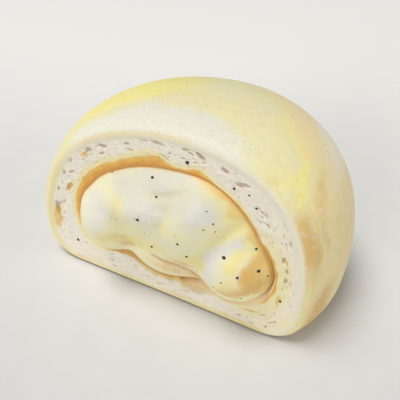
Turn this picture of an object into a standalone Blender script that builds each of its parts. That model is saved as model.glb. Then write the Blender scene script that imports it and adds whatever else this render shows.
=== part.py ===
"""A soft round bun, cut open a little off its middle and filled with vanilla custard.

Metres, +Z up, resting on Z = 0, with the cut face towards -Y. The shapes are
worked out from a point on the table under the cut plane. The empty that
carries both pieces then moves them, so that the origin is under the middle of
the whole piece.
"""

import math
import random

import bmesh
import bpy
import numpy as np

MM = 0.001

# The whole bun, before it is cut
BUN_RADIUS = 48.0 * MM
BUN_DEPTH_RADIUS = 40.0 * MM
BUN_HEIGHT = 61.2 * MM
WIDEST_HEIGHT = 12.2 * MM
CENTRE_BEHIND_CUT = 19.9 * MM
TOP_LEAN_X = 9.1 * MM
TOP_LEAN_Y = -5.0 * MM
BASE_SHARE = 0.81
SIDE_POWER = 2.36
CROWN_POWER = 2.10
FOOT_POWER = 2.4
SKIN_SWELL = 0.011
EDGE_ROUND = 1.8 * MM
TABLE_CLOSE = 0.02 * MM

# The filling: each lobe is a centre and three radii, in millimetres
LUMP_LOBES = (
    ((3.0, 22.0, 30.0), (30.0, 19.5, 19.0)),
    ((-16.3, 6.9, 23.8), (10.6, 13.7, 12.1)),
    ((-6.8, 6.1, 33.6), (12.7, 11.5, 8.3)),
    ((6.3, 3.0, 31.1), (24.1, 8.1, 18.2)),
    ((12.7, 5.8, 36.1), (9.7, 12.4, 11.6)),
    ((23.1, 3.3, 22.3), (10.1, 10.1, 10.7)),
    ((1.2, 5.9, 17.5), (11.5, 9.4, 7.7)),
)
LUMP_SOFTNESS = 1.3 * MM

# Where the pocket that the filling lies in is wider than the filling, in millimetres
POCKET_LOBES = (
    ((22.0, 0.0, 23.3), (12.1, 5.0, 14.6)),
    ((9.2, 0.0, 16.6), (6.2, 4.5, 6.5)),
)
POCKET_SOFTNESS = 1.0 * MM
FILLING_GAP = 0.6 * MM
RIM_ROUND = 0.6 * MM

# Centre of the filling, and the point of the cut plane that its rings run round
HEART = np.array((3.0, 12.0, 29.0)) * MM
HUB = np.array((3.0, 0.0, 28.0)) * MM
DEEP = np.array((0.0, 1.0, 0.0))

# Mesh resolution
SEGMENTS = 64
SPOKE_CROWDING = 0.35
POCKET_RINGS = 15
RIM_RINGS = 2
CRUMB_RINGS = 7
EDGE_RINGS = 4
SKIN_RINGS = 30
CUSTARD_RINGS = 30
RAY_LENGTH = 120.0 * MM
HALVINGS = 40

# Open crumb: (x, z, length, width) of the large pores, in millimetres
CRUMB_RELIEF = 0.3 * MM
LARGE_PORES = (
    (-35.3, 20.8, 6.5, 1.9),
    (-28.6, 31.5, 4.6, 1.4),
    (-29.6, 36.0, 2.2, 1.0),
    (-26.4, 41.2, 2.6, 1.1),
    (-19.3, 46.7, 2.4, 1.5),
    (-14.6, 49.3, 3.6, 1.2),
    (-6.9, 52.1, 1.8, 0.9),
    (1.5, 55.0, 5.6, 1.2),
    (13.2, 54.6, 3.4, 1.6),
    (19.4, 52.6, 2.6, 1.4),
    (24.2, 50.2, 4.6, 1.1),
    (35.7, 31.3, 2.2, 1.1),
    (36.9, 24.7, 2.0, 1.0),
)
SMALL_PORES = 18
SMALL_PORE_LENGTH = (1.2 * MM, 2.6 * MM)
SMALL_PORE_SLIMNESS = 0.42
PORE_DEPTH_SHARE = 0.8
PORE_SEED = 7

# Vanilla specks that show from a step away: (x, z, radius), in millimetres
CUSTARD_SPECKS = (
    (1.0, 45.7, 0.45),
    (-1.4, 34.6, 0.55),
    (3.0, 41.8, 0.40),
    (10.2, 31.5, 0.42),
    (12.1, 27.0, 0.40),
    (22.1, 30.7, 0.55),
    (28.7, 33.1, 0.40),
    (30.4, 27.7, 0.55),
    (26.3, 26.6, 0.40),
    (1.2, 25.0, 0.40),
)
CRUMB_SPECKS = (
    (9.8, 51.8, 0.55),
    (-30.0, 9.6, 0.55),
    (36.3, 16.7, 0.50),
    (27.5, 44.8, 0.40),
    (21.8, 48.5, 0.40),
)
SPECK_SUNK_SHARE = 0.3

# Where the shapes' own starting point goes, so that the origin is in the middle
ORIGIN_SHIFT = (-0.48 * MM, -26.40 * MM, 0.0)

# Colours are linear
BUN_COLOUR = (0.76, 0.66, 0.40, 1.0)
BUN_ROUGHNESS = 0.6
CUSTARD_COLOUR = (0.83, 0.76, 0.44, 1.0)
CUSTARD_ROUGHNESS = 0.35


def unit(vectors):
    return vectors / np.linalg.norm(vectors, axis=-1, keepdims=True)


def swell(points):
    """Slow hollows and swellings of a hand-rolled skin, from about -1 to 1."""
    x, y, z = points[..., 0], points[..., 1], points[..., 2]
    broad = np.sin(x / (11.0 * MM) + 0.6) * np.sin(y / (13.0 * MM) + 1.1)
    tall = np.sin(z / (9.0 * MM) + x / (31.0 * MM))
    fine = np.sin(x / (6.1 * MM) + y / (7.3 * MM)) * np.sin(z / (5.2 * MM) + 0.4)
    return 0.5 * broad + 0.3 * tall + 0.2 * fine


def bun_field(points):
    """Below 0 inside the whole bun, above 0 outside it."""
    x, y, z = points[..., 0], points[..., 1], points[..., 2]
    lean = np.clip(z / BUN_HEIGHT, 0, 1) ** 2
    across = np.hypot(
        (x - TOP_LEAN_X * lean) / BUN_RADIUS,
        (y - CENTRE_BEHIND_CUT - TOP_LEAN_Y * lean) / BUN_DEPTH_RADIUS,
    )
    up = np.clip((z - WIDEST_HEIGHT) / (BUN_HEIGHT - WIDEST_HEIGHT), 0, None)
    down = np.clip((WIDEST_HEIGHT - z) / WIDEST_HEIGHT, 0, None)
    crown = across**SIDE_POWER + up**CROWN_POWER - 1 + SKIN_SWELL * lean * swell(points)
    foot = np.clip((across - BASE_SHARE) / (1 - BASE_SHARE), 0, None) ** FOOT_POWER
    return np.where(z >= WIDEST_HEIGHT, crown, foot + down**FOOT_POWER - 1)


def lobe_field(points, lobes, softness):
    """Below 0 inside a soft union of ellipsoids, above 0 outside it."""
    total = 0.0
    for centre, radii in lobes:
        centre = np.array(centre) * MM
        radii = np.array(radii) * MM
        outside = (np.linalg.norm((points - centre) / radii, axis=-1) - 1) * radii.min()
        total = total + np.exp(-outside / softness)
    return -softness * np.log(total)


def lump_field(points):
    return lobe_field(points, LUMP_LOBES, LUMP_SOFTNESS)


def pocket_field(points):
    """The filling's shape grown by its gap, and opened wider by the pocket's own lobes."""
    wider = lobe_field(points, POCKET_LOBES, POCKET_SOFTNESS)
    return np.minimum(wider, lump_field(points) - FILLING_GAP)


def reach(start, directions, field):
    """Distance from start, along each direction, to where the field turns positive."""
    near = np.zeros(directions.shape[:-1])
    far = np.full(directions.shape[:-1], RAY_LENGTH)
    for _ in range(HALVINGS):
        middle = (near + far) / 2
        inside = field(start + directions * middle[..., None]) < 0
        near = np.where(inside, middle, near)
        far = np.where(inside, far, middle)
    return near


def spokes():
    """Unit vectors round the hub in the cut plane, closest at the crown and at both feet."""
    even = np.arange(SEGMENTS) * 2 * math.pi / SEGMENTS
    angles = even - SPOKE_CROWDING / 3 * np.cos(3 * even)
    return np.stack((np.cos(angles), np.zeros(SEGMENTS), np.sin(angles)), axis=-1)


def ring_at(around, radius, depth):
    """Points at a radius from the hub along each spoke, and a depth behind the cut."""
    radius = np.broadcast_to(radius, SEGMENTS)[:, None]
    depth = np.broadcast_to(depth, SEGMENTS)[:, None]
    return HUB + around * radius + DEEP * depth


def skin_radius(around, depth):
    return reach(HUB + DEEP * depth, around, bun_field)


def pocket_rings(around, rim):
    """From the deepest point of the pocket out to just inside its rim."""
    to_rim = unit(ring_at(around, rim, RIM_ROUND) - HEART)
    full_turn = np.arccos(to_rim[:, 1])
    outward = unit(to_rim * (1.0, 0.0, 1.0))
    rings = []
    for step in range(POCKET_RINGS):
        turn = (full_turn * step / POCKET_RINGS)[:, None]
        directions = np.cos(turn) * DEEP + np.sin(turn) * outward
        rings.append(HEART + directions * reach(HEART, directions, pocket_field)[:, None])
    return rings


def rim_rings(around, rim):
    rings = []
    for step in range(RIM_RINGS + 1):
        turn = math.pi / 2 * step / RIM_RINGS
        radius = rim + RIM_ROUND * (1 - math.cos(turn))
        rings.append(ring_at(around, radius, RIM_ROUND * (1 - math.sin(turn))))
    return rings


def crumb_rings(around, inner, outer):
    """The torn face of the crumb, in shallow seeded relief behind the cut plane."""
    chance = random.Random(PORE_SEED)
    rings = []
    for step in range(1, CRUMB_RINGS):
        radius = inner + (outer - inner) * step / CRUMB_RINGS
        relief = [CRUMB_RELIEF * chance.random() for _ in range(SEGMENTS)]
        rings.append(ring_at(around, radius, relief))
    return rings


def edge_rings(around):
    """The rounded edge between the cut face and the skin."""
    rings = []
    for step in range(EDGE_RINGS + 1):
        turn = math.pi / 2 * step / EDGE_RINGS
        depth = EDGE_ROUND * (1 - math.cos(turn))
        inset = EDGE_ROUND * (1 - math.sin(turn))
        rings.append(ring_at(around, skin_radius(around, depth) - inset, depth))
    return rings


def skin_rings(around):
    """From behind the edge to the point of the skin that is straight behind the hub."""
    start_turn = np.arctan(EDGE_ROUND / skin_radius(around, EDGE_ROUND))
    rings = []
    for step in range(1, SKIN_RINGS + 1):
        turn = start_turn + (math.pi / 2 - start_turn) * step / SKIN_RINGS
        directions = np.cos(turn)[:, None] * around + np.sin(turn)[:, None] * DEEP
        distance = reach(HUB, directions, bun_field)[:, None]
        rings.append(HUB + directions * distance)
    return rings


def bun_rings():
    around = spokes()
    rim = reach(HUB, around, pocket_field)
    rings = pocket_rings(around, rim)
    rings += rim_rings(around, rim)
    rings += crumb_rings(around, rim + RIM_ROUND, skin_radius(around, 0) - EDGE_ROUND)
    rings += edge_rings(around)
    rings += skin_rings(around)
    rings = np.array(rings)
    rings[..., 2] = np.where(rings[..., 2] < TABLE_CLOSE, 0.0, rings[..., 2])
    return rings


def custard_rings():
    around = spokes()
    rings = []
    for step in range(CUSTARD_RINGS + 1):
        turn = math.pi * step / CUSTARD_RINGS
        directions = math.cos(turn) * DEEP + math.sin(turn) * around
        rings.append(HEART + directions * reach(HEART, directions, lump_field)[:, None])
    return np.array(rings)


def material(name, colour, roughness):
    made = bpy.data.materials.new(name)
    made.use_nodes = True
    shader = made.node_tree.nodes["Principled BSDF"]
    shader.inputs["Base Color"].default_value = colour
    shader.inputs["Roughness"].default_value = roughness
    shader.inputs["Metallic"].default_value = 0.0
    made.diffuse_color = colour
    return made


def new_collection(name):
    made = bpy.data.collections.new(name)
    bpy.context.scene.collection.children.link(made)
    return made


def object_from(bm, name, collection):
    mesh = bpy.data.meshes.new(name)
    bm.to_mesh(mesh)
    bm.free()
    made = bpy.data.objects.new(name, mesh)
    collection.objects.link(made)
    return made


def shaped_sphere(name, rings, collection):
    """A sphere primitive whose points are moved, ring by ring, to the given places."""
    last = len(rings) - 1
    bm = bmesh.new()
    bmesh.ops.create_uvsphere(bm, u_segments=SEGMENTS, v_segments=last, radius=1.0)
    for vertex in bm.verts:
        x, y, z = vertex.co
        ring = round(math.acos(max(-1.0, min(1.0, z))) * last / math.pi)
        segment = round(math.atan2(y, x) * SEGMENTS / (2 * math.pi)) % SEGMENTS
        vertex.co = rings[ring][segment]
    bmesh.ops.recalc_face_normals(bm, faces=bm.faces)
    for face in bm.faces:
        face.smooth = True
    return object_from(bm, name, collection)


def pebble(name, place, radii, tilt, detail, collection):
    """An ellipsoid from an icosphere, tilted in the plane of the cut."""
    bm = bmesh.new()
    bmesh.ops.create_icosphere(bm, subdivisions=detail, radius=1.0)
    bmesh.ops.scale(bm, vec=radii, verts=bm.verts)
    made = object_from(bm, name, collection)
    made.location = place
    made.rotation_euler = (0.0, -tilt, 0.0)
    return made


def skin_tilt(x, z):
    """Angle of the line through (x, z) that runs alongside the skin, in the cut plane."""
    step = 0.1 * MM
    here = np.array((x, 0.0, z))
    right = bun_field(here + (step, 0, 0)) - bun_field(here - (step, 0, 0))
    up = bun_field(here + (0, 0, step)) - bun_field(here - (0, 0, step))
    return math.atan2(-right, up)


def add_pore(name, x, z, length, width, detail, collection):
    radii = (length / 2, width / 2 * PORE_DEPTH_SHARE, width / 2)
    cutter = pebble(name, (x, 0.0, z), radii, skin_tilt(x, z), detail, collection)
    cutter.hide_render = True
    cutter.display_type = "WIRE"


def add_pores(collection):
    """Cutters for the open crumb: the large pores by place, the small ones by a seeded rule."""
    for number, (x, z, length, width) in enumerate(LARGE_PORES):
        name = f"large_pore_{number}"
        add_pore(name, x * MM, z * MM, length * MM, width * MM, 2, collection)
    chance = random.Random(PORE_SEED)
    for number in range(SMALL_PORES):
        angle = 2 * math.pi * (number + chance.uniform(0.2, 0.8)) / SMALL_PORES
        around = np.array((math.cos(angle), 0.0, math.sin(angle)))
        inner = reach(HUB, around, pocket_field)
        outer = skin_radius(around, 0.0)
        place = HUB + around * (inner + (outer - inner) * chance.uniform(0.35, 0.7))
        length = chance.uniform(*SMALL_PORE_LENGTH)
        width = length * SMALL_PORE_SLIMNESS
        add_pore(f"small_pore_{number}", place[0], place[2], length, width, 1, collection)


def boolean(target, operation, collection):
    modifier = target.modifiers.new(operation.title(), "BOOLEAN")
    modifier.operation = operation
    modifier.operand_type = "COLLECTION"
    modifier.collection = collection
    modifier.solver = "EXACT"
    return modifier


def custard_front(x, z):
    """Depth of the filling's near surface at a place in the cut plane."""
    start = np.array((x, HEART[1], z))
    return HEART[1] - float(reach(start, -DEEP, lump_field))


def fuse_specks(target, specks, front):
    """Joins vanilla specks to a piece by one union, then removes the loose ones."""
    collection = new_collection("Specks")
    for number, (x, z, radius) in enumerate(specks):
        x, z, radius = x * MM, z * MM, radius * MM
        place = (x, front(x, z) + radius * SPECK_SUNK_SHARE, z)
        pebble(f"speck_{number}", place, (radius, radius, radius), 0.0, 1, collection)
    modifier = boolean(target, "UNION", collection)
    with bpy.context.temp_override(object=target, active_object=target):
        bpy.ops.object.modifier_apply(modifier=modifier.name)
    for speck in list(collection.objects):
        bpy.data.objects.remove(speck, do_unlink=True)
    bpy.data.collections.remove(collection)


def build():
    for old in list(bpy.data.objects):
        bpy.data.objects.remove(old, do_unlink=True)
    parts = new_collection("Custard bun")
    cutters = new_collection("Cutters")

    carrier = bpy.data.objects.new("custard_bun", None)
    carrier.location = ORIGIN_SHIFT
    parts.objects.link(carrier)

    bun = shaped_sphere("bun", bun_rings(), parts)
    bun.data.materials.append(material("bun", BUN_COLOUR, BUN_ROUGHNESS))
    fuse_specks(bun, CRUMB_SPECKS, lambda x, z: 0.0)
    add_pores(cutters)
    boolean(bun, "DIFFERENCE", cutters)

    custard = shaped_sphere("custard", custard_rings(), parts)
    custard.data.materials.append(material("custard", CUSTARD_COLOUR, CUSTARD_ROUGHNESS))
    fuse_specks(custard, CUSTARD_SPECKS, custard_front)

    for piece in [bun, custard] + list(cutters.objects):
        piece.parent = carrier


build()
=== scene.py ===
"""Dresses the packed, cut bread roll: skin, open crumb, stained pocket, custard and vanilla.

Metres, +Z up, in the row's frame. The shape functions repeat the part's named
sizes at a finer resolution, so each piece lies where its solid does.
"""

import math
import random

import bpy
import numpy as np
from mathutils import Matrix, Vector, noise
from mathutils.bvhtree import BVHTree


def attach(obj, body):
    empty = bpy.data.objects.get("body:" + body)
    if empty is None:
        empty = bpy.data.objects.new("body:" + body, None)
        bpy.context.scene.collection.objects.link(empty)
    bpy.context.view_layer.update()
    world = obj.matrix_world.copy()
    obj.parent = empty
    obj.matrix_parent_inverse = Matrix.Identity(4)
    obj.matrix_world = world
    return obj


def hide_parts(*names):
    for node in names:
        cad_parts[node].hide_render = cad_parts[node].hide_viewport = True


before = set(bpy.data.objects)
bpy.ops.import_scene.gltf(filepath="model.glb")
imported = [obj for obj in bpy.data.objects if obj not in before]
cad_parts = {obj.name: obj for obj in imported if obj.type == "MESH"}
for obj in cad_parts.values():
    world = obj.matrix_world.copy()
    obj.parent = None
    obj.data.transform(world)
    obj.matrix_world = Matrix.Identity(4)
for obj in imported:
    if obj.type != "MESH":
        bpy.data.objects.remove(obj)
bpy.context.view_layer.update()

MM = 0.001
SHIFT = np.array((-0.48, -26.40, 0.0)) * MM

# The whole bun, as in the part's source
BUN_RADIUS = 48.0 * MM
BUN_DEPTH_RADIUS = 40.0 * MM
BUN_HEIGHT = 61.2 * MM
WIDEST_HEIGHT = 12.2 * MM
CENTRE_BEHIND_CUT = 19.9 * MM
TOP_LEAN_X = 9.1 * MM
TOP_LEAN_Y = -5.0 * MM
BASE_SHARE = 0.81
SIDE_POWER = 2.36
CROWN_POWER = 2.10
FOOT_POWER = 2.4
SKIN_SWELL = 0.011
EDGE_ROUND = 1.8 * MM

# Lobes of the filling, and where its pocket is wider, in millimetres, as in the part
LUMP_LOBES = (
    ((3.0, 22.0, 30.0), (30.0, 19.5, 19.0)),
    ((-16.3, 6.9, 23.8), (10.6, 13.7, 12.1)),
    ((-6.8, 6.1, 33.6), (12.7, 11.5, 8.3)),
    ((6.3, 3.0, 31.1), (24.1, 8.1, 18.2)),
    ((12.7, 5.8, 36.1), (9.7, 12.4, 11.6)),
    ((23.1, 3.3, 22.3), (10.1, 10.1, 10.7)),
    ((1.2, 5.9, 17.5), (11.5, 9.4, 7.7)),
)
LUMP_SOFTNESS = 1.3 * MM
POCKET_LOBES = (
    ((22.0, 0.0, 23.3), (12.1, 5.0, 14.6)),
    ((9.2, 0.0, 16.6), (6.2, 4.5, 6.5)),
)
POCKET_SOFTNESS = 1.0 * MM
HEART = np.array((3.0, 12.0, 29.0)) * MM
HUB = np.array((3.0, 0.0, 28.0)) * MM
DEEP = np.array((0.0, 1.0, 0.0))
IN_FRONT = -50.0 * MM

# The pocket's rim. Its brown line, painted shadow where the filling meets the bread, fades
# over one span of distances from the filling, and over the other the rim becomes a scoop,
# where no custard has soaked in
RIM_ROUND = 0.2 * MM
SEAM_SHADE_SPAN = (0.4 * MM, 1.8 * MM)
SCOOPED = (0.8 * MM, 2.2 * MM)
LEAST_SCOOP_STAIN = 0.1
LEAST_SCOOP_FRINGE = 0.6
RIM_WAVE_RADIUS = 30.0 * MM
MOST_RIM_WAVE = 0.3
WALL_SET_BACK = 0.2

# Noise: (size in millimetres, amount, seed)
SKIN_WARPS = ((14.0, 3.0, 31), (4.5, 1.0, 41))
FACE_WARPS = ((3.0, 0.35, 51),)
CUSTARD_WARPS = ((6.0, 1.6, 61), (2.2, 0.5, 71))
RIM_WAVES = ((2.6, 0.16, 8), (0.9, 0.08, 9))
WALL_WAVES = ((3.0, 0.16, 12), (1.1, 0.1, 13))
CRUMB_WAVES = ((2.2, 0.12, 5), (0.8, 0.05, 6))
PORE_WAVES = ((0.6, 0.28, 3),)
CUSTARD_WAVES = ((5.0, 0.20, 21), (1.8, 0.07, 22))
SEED_STEPS = (7.31, 3.17, 5.77)

# Fine mesh
SEGMENTS = 700
POCKET_RINGS = 26
RIM_RINGS = 4
CRUMB_RINGS = 58
EDGE_RINGS = 10
SKIN_RINGS = 46
CUSTARD_SEGMENTS = 560
CUSTARD_RINGS = 170
SPOKE_CROWDING = 0.25
POCKET_CROWDING = 0.8
CRUMB_LAYER = 0.55 * MM
GRAIN_ROUND = 18
RAY_LENGTH = 120.0 * MM
HALVINGS = 34

# Large pores of the crumb: (x, z, length, width) in millimetres
LARGE_PORES = (
    (-35.3, 20.8, 6.5, 1.9),
    (-28.6, 31.5, 4.6, 1.4),
    (-29.6, 36.0, 2.2, 1.0),
    (-26.4, 41.2, 2.6, 1.1),
    (-19.3, 46.7, 2.4, 1.5),
    (-14.6, 49.3, 3.6, 1.2),
    (-6.9, 52.1, 1.8, 0.9),
    (1.5, 55.0, 5.6, 1.2),
    (13.2, 54.6, 3.4, 1.6),
    (19.4, 52.6, 2.6, 1.4),
    (24.2, 50.2, 4.6, 1.1),
    (35.7, 31.3, 2.2, 1.1),
    (36.9, 24.7, 2.0, 1.0),
)
HONEY_PORES = (
    (-36.5, 16.6, 11.0, 3.8),
    (-28.7, 31.3, 5.0, 1.8),
    (-21.0, 44.6, 3.4, 1.8),
    (35.6, 16.6, 5.0, 1.4),
    (28.6, 8.4, 6.0, 1.2),
)

# Seeded pores: (count, lengths in millimetres, widths over lengths, places from rim to skin)
MIDDLE_PORES = (80, (0.9, 2.6), (0.25, 0.45), (0.3, 0.72))
FINE_PORES = (240, (0.4, 1.2), (0.3, 0.6), (0.2, 0.8))
PORE_TURN = 0.22
PORE_REACH = 1.12
PORE_WALL = 0.55
PORE_DEPTH_SHARE = 0.5
COTTON_DEPTH = 0.17
CRUMB_SEED = 11

# How far custard has soaked into the cut face: (degrees round the hub, millimetres)
SOAKED_WIDTHS = (
    (0, 0.7),
    (26, 0.8),
    (38, 1.0),
    (46, 1.1),
    (54, 0.9),
    (59, 1.2),
    (63, 1.9),
    (66, 2.4),
    (69, 2.2),
    (72, 1.5),
    (76, 1.2),
    (81, 1.4),
    (86, 1.8),
    (90, 2.8),
    (93, 3.5),
    (99, 3.5),
    (107, 3.1),
    (116, 2.9),
    (124, 2.8),
    (140, 2.9),
    (154, 3.3),
    (162, 3.3),
    (172, 2.6),
    (181, 2.2),
    (190, 2.4),
    (200, 3.2),
    (210, 4.2),
    (217, 4.6),
    (224, 3.0),
    (234, 1.8),
    (242, 2.0),
    (252, 2.3),
    (263, 2.2),
    (272, 2.0),
    (279, 1.3),
    (290, 0.6),
    (320, 0.5),
    (345, 0.9),
    (360, 0.7),
)

# Vanilla: (x, z, radius) in millimetres, large ones as in the part's source
CUSTARD_SPECKS = (
    (1.0, 45.7, 0.45),
    (-1.4, 34.6, 0.55),
    (3.0, 41.8, 0.40),
    (10.2, 31.5, 0.42),
    (12.1, 27.0, 0.40),
    (22.1, 30.7, 0.55),
    (28.7, 33.1, 0.40),
    (30.4, 27.7, 0.55),
    (26.3, 26.6, 0.40),
    (1.2, 25.0, 0.40),
    (32.4, 25.4, 0.30),
    (18.9, 40.2, 0.26),
    (17.1, 38.8, 0.26),
    (17.1, 43.2, 0.22),
    (-12.3, 42.0, 0.26),
    (9.6, 34.2, 0.2),
    (14.4, 21.5, 0.2),
    (22.5, 24.0, 0.25),
    (19.5, 38.0, 0.18),
    (-2.4, 34.4, 0.18),
    (20.0, 20.5, 0.2),
    (27.5, 19.0, 0.24),
)
CRUMB_SPECKS = (
    (9.8, 51.8, 0.55),
    (-30.0, 9.6, 0.55),
    (36.3, 16.7, 0.50),
    (27.5, 44.8, 0.40),
    (21.8, 48.5, 0.40),
    (25.5, 47.9, 0.3),
    (33.4, 4.2, 0.3),
)
STRAY_SPECKS = 34
STRAY_ACROSS = (-24, 32)
STRAY_UP = (11, 47)
STRAY_RADII = (0.07, 0.13)
STRAY_INSET = 1.0 * MM
SPECK_SEED = 23
SPECK_ROWS = 5
SPECK_COLUMNS = 8
SPECK_WIDTHS = (0.75, 1.0)
SPECK_THICKNESS = 0.6
SPECK_UNEVENNESS = (0.82, 1.08)


def placed(name, data):
    """A new object with this data, in the scene."""
    made = bpy.data.objects.new(name, data)
    bpy.context.scene.collection.objects.link(made)
    return made


# Shape fields


def unit(vectors):
    return vectors / np.linalg.norm(vectors, axis=-1, keepdims=True)


def ramp01(values, low, high):
    """Smooth step from 0 at low to 1 at high."""
    t = np.clip((values - low) / (high - low), 0, 1)
    return t * t * (3 - 2 * t)


def swell(points):
    """Slow hollows and swellings of a hand-rolled skin, from about -1 to 1."""
    x, y, z = points[..., 0], points[..., 1], points[..., 2]
    broad = np.sin(x / (11.0 * MM) + 0.6) * np.sin(y / (13.0 * MM) + 1.1)
    tall = np.sin(z / (9.0 * MM) + x / (31.0 * MM))
    fine = np.sin(x / (6.1 * MM) + y / (7.3 * MM)) * np.sin(z / (5.2 * MM) + 0.4)
    return 0.5 * broad + 0.3 * tall + 0.2 * fine


def bun_field(points):
    """Below 0 inside the whole bun, above 0 outside it."""
    x, y, z = points[..., 0], points[..., 1], points[..., 2]
    lean = np.clip(z / BUN_HEIGHT, 0, 1) ** 2
    across = np.hypot(
        (x - TOP_LEAN_X * lean) / BUN_RADIUS,
        (y - CENTRE_BEHIND_CUT - TOP_LEAN_Y * lean) / BUN_DEPTH_RADIUS,
    )
    up = np.clip((z - WIDEST_HEIGHT) / (BUN_HEIGHT - WIDEST_HEIGHT), 0, None)
    down = np.clip((WIDEST_HEIGHT - z) / WIDEST_HEIGHT, 0, None)
    crown = across**SIDE_POWER + up**CROWN_POWER - 1 + SKIN_SWELL * lean * swell(points)
    foot = np.clip((across - BASE_SHARE) / (1 - BASE_SHARE), 0, None) ** FOOT_POWER
    return np.where(z >= WIDEST_HEIGHT, crown, foot + down**FOOT_POWER - 1)


def lobe_field(points, lobes, softness):
    """Below 0 inside a soft union of ellipsoids, above 0 outside it."""
    total = 0.0
    for centre, radii in lobes:
        centre = np.array(centre) * MM
        radii = np.array(radii) * MM
        outside = (np.linalg.norm((points - centre) / radii, axis=-1) - 1) * radii.min()
        total = total + np.exp(-outside / softness)
    return -softness * np.log(total)


def lump_field(points):
    return lobe_field(points, LUMP_LOBES, LUMP_SOFTNESS)


def pocket_field(points):
    """The filling's shape, opened wider by the pocket's own lobes."""
    wider = lobe_field(points, POCKET_LOBES, POCKET_SOFTNESS)
    return np.minimum(wider, lump_field(points))


def reach(start, directions, field):
    """Distance from start, along each direction, to where the field turns positive."""
    near = np.zeros(directions.shape[:-1])
    far = np.full(directions.shape[:-1], RAY_LENGTH)
    for _ in range(HALVINGS):
        middle = (near + far) / 2
        inside = field(start + directions * middle[..., None]) < 0
        near = np.where(inside, middle, near)
        far = np.where(inside, far, middle)
    return near


def rough(points, scale, seed):
    """Smooth noise from about -1 to 1 at each point, with features of the given size."""
    offset = Vector([seed * step for step in SEED_STEPS])
    flat = points.reshape(-1, 3) / scale
    values = [noise.noise(Vector(point) + offset) for point in flat]
    return np.array(values).reshape(points.shape[:-1])


def waves(points, layers):
    """Smooth noise summed over its layers."""
    return sum(amount * rough(points, size * MM, seed) for size, amount, seed in layers)


def warped(points, layers):
    """The points moved about by smooth noise, so that a zone's edge isn't a clean curve."""
    for size, amount, seed in layers:
        moves = [rough(points, size * MM, seed + axis) for axis in range(3)]
        points = points + np.stack(moves, axis=-1) * (amount * MM)
    return points


def bell(values, centre, width):
    return np.exp(-(((values - centre) / width) ** 2))


def spokes(count):
    even = np.arange(count) * 2 * math.pi / count
    angles = even - SPOKE_CROWDING / 3 * np.cos(3 * even)
    return np.stack((np.cos(angles), np.zeros(count), np.sin(angles)), axis=-1)


def degrees_round(directions):
    """Angle of each direction round the hub, from the right over the top."""
    return np.degrees(np.arctan2(directions[:, 2], directions[:, 0])) % 360


def ring_at(around, radius, depth):
    """Points at a radius from the hub along each spoke, and a depth behind the cut."""
    radius = np.broadcast_to(radius, len(around))[:, None]
    depth = np.broadcast_to(depth, len(around))[:, None]
    return HUB + around * radius + DEEP * depth


def skin_radius(around, depth):
    return reach(HUB + DEEP * depth, around, bun_field)


# Crumb


def along_skin(x, z):
    """Unit vectors alongside and across the skin at places in the cut plane."""
    here = np.stack((x, np.zeros_like(x), z), axis=-1)
    step = 0.1 * MM
    right = bun_field(here + (step, 0, 0)) - bun_field(here - (step, 0, 0))
    up = bun_field(here + (0, 0, step)) - bun_field(here - (0, 0, step))
    across = unit(np.stack((right, up), axis=-1))
    return np.stack((-across[..., 1], across[..., 0]), axis=-1), across


def seeded_pores(count, lengths, slimness, shares, chance):
    """Pores at random places between the pocket's rim and the skin."""
    pores = []
    for _ in range(count):
        angle = chance.uniform(0, 2 * math.pi)
        spoke = np.array((math.cos(angle), 0.0, math.sin(angle)))
        inner = reach(HUB, spoke, pocket_field)
        outer = reach(HUB, spoke, bun_field)
        place = HUB + spoke * (inner + (outer - inner) * chance.uniform(*shares))
        length = chance.uniform(*lengths) * MM * chance.uniform(0.6, 1.0)
        pores.append((place[0], place[2], length, length * chance.uniform(*slimness)))
    return pores


def pore_depths(points, pores, chance):
    """Depth of the crumb's holes at each point, and how far each point is in one, 0 to 1."""
    depth = np.zeros(points.shape[:-1])
    inside = np.zeros(points.shape[:-1])
    x, z = points[..., 0], points[..., 2]
    wobble = waves(points, PORE_WAVES)
    for px, pz, length, width in pores:
        along, across = along_skin(np.array(px), np.array(pz))
        turn = chance.gauss(0, PORE_TURN)
        u = (x - px) * along[0] + (z - pz) * along[1]
        v = (x - px) * across[0] + (z - pz) * across[1]
        u, v = u + v * turn, v - u * turn
        far = np.hypot(u / (length / 2), v / (width / 2)) + wobble
        bowl = ramp01(PORE_REACH - far, 0.0, PORE_WALL)
        depth = np.maximum(depth, bowl * width * PORE_DEPTH_SHARE)
        inside = np.maximum(inside, bowl)
    return depth, inside


def crumb_relief(points, to_skin, to_rim):
    """How far each point of the crumb lies behind the cut plane, and its share of a pore."""
    chance = random.Random(CRUMB_SEED)
    large = [tuple(value * MM for value in pore) for pore in LARGE_PORES]
    middle = seeded_pores(*MIDDLE_PORES, chance)
    fine = seeded_pores(*FINE_PORES, chance)
    depth, inside = pore_depths(points, large + middle + fine, chance)
    honey = [tuple(value * MM for value in pore) for pore in HONEY_PORES]
    honey = pore_depths(points, honey, chance)[1]
    cottony = waves(points, CRUMB_WAVES) + COTTON_DEPTH
    inner = ramp01(to_skin, 1.8 * MM, 3.6 * MM) * ramp01(to_rim, 0.3 * MM, 1.6 * MM)
    relief = (depth + cottony * MM) * inner
    return relief, inside * inner, honey


# Bun


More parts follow.
